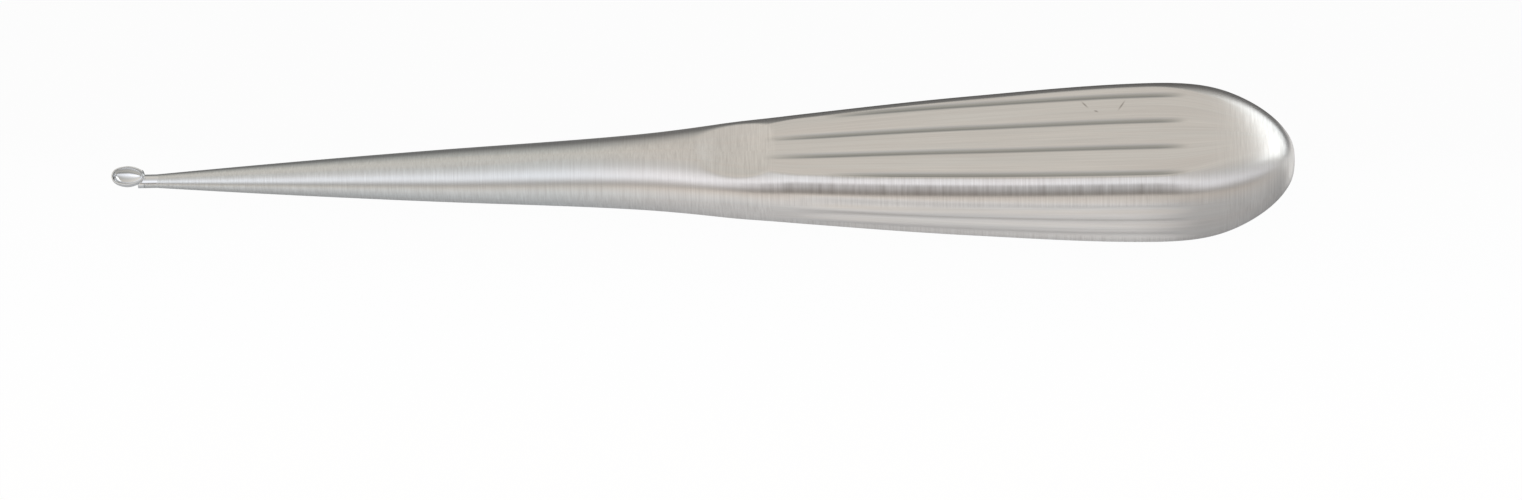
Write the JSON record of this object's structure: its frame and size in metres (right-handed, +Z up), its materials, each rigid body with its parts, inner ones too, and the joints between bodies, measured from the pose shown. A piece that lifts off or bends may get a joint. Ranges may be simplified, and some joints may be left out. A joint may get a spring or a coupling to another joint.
{
  "type": "bone curette",
  "caption": "Straight bone curette with a small oval spoon cup, a tapering round shaft, a thumb scoop on each broad face and a fluted flattened handle with a rounded butt.",
  "frame": {"origin": "centre of the bounding box, on the surface that the instrument lies on", "axes": "+X along the instrument from the cup to the butt, +Y across the broad face, +Z up, the way the cup opens"},
  "size_m": [0.171, 0.0212, 0.0154],
  "materials": {
    "steel": "satin, brushed along its length"
  },
  "bodies": {
    "root": {"curette": "steel"}
  },
  "joints": []
}
